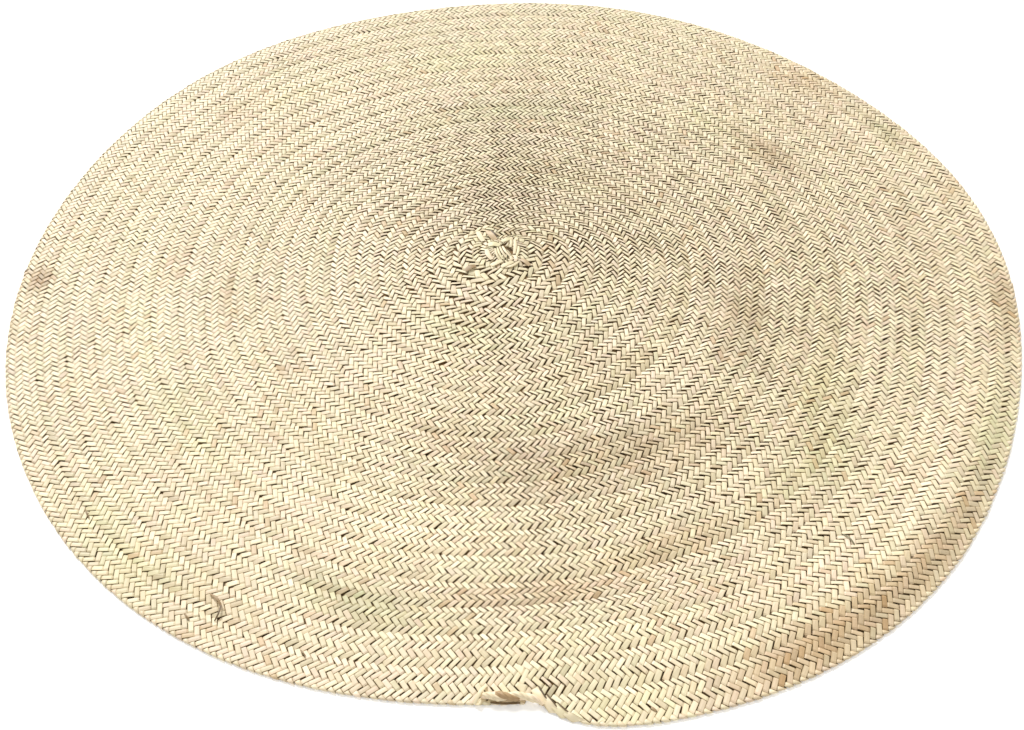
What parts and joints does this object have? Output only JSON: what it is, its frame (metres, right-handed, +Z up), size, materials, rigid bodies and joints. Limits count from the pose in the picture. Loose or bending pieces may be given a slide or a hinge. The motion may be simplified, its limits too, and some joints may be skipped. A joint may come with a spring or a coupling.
{
  "type": "round plaited leaf rug",
  "caption": "Round flat floor rug coiled from a flat twill plait of dried leaf, sewn edge to edge, with a low ridge near the rim and a twisted end sewn down at the front.",
  "frame": {"origin": "centre of the bounding box at the floor, under the rug's flat underside", "axes": "+Z up through the rug; the plait's narrowed end is at the rim on the -Y side"},
  "size_m": [1.488, 1.4812, 0.0149],
  "materials": {
    "dried_leaf_plait": "dried palm leaf strips in a two-over-two twill plait, cream to pale green, dry satin",
    "twisted_leaf": "dried leaf strips twisted into a short cord, cream and brown, dry satin",
    "pale_leaf": "one pale dried leaf strip, dry satin"
  },
  "bodies": {
    "root": {"sewn_plait": "dried_leaf_plait", "twisted_end": "twisted_leaf", "tuck_strand": "pale_leaf"}
  },
  "joints": []
}
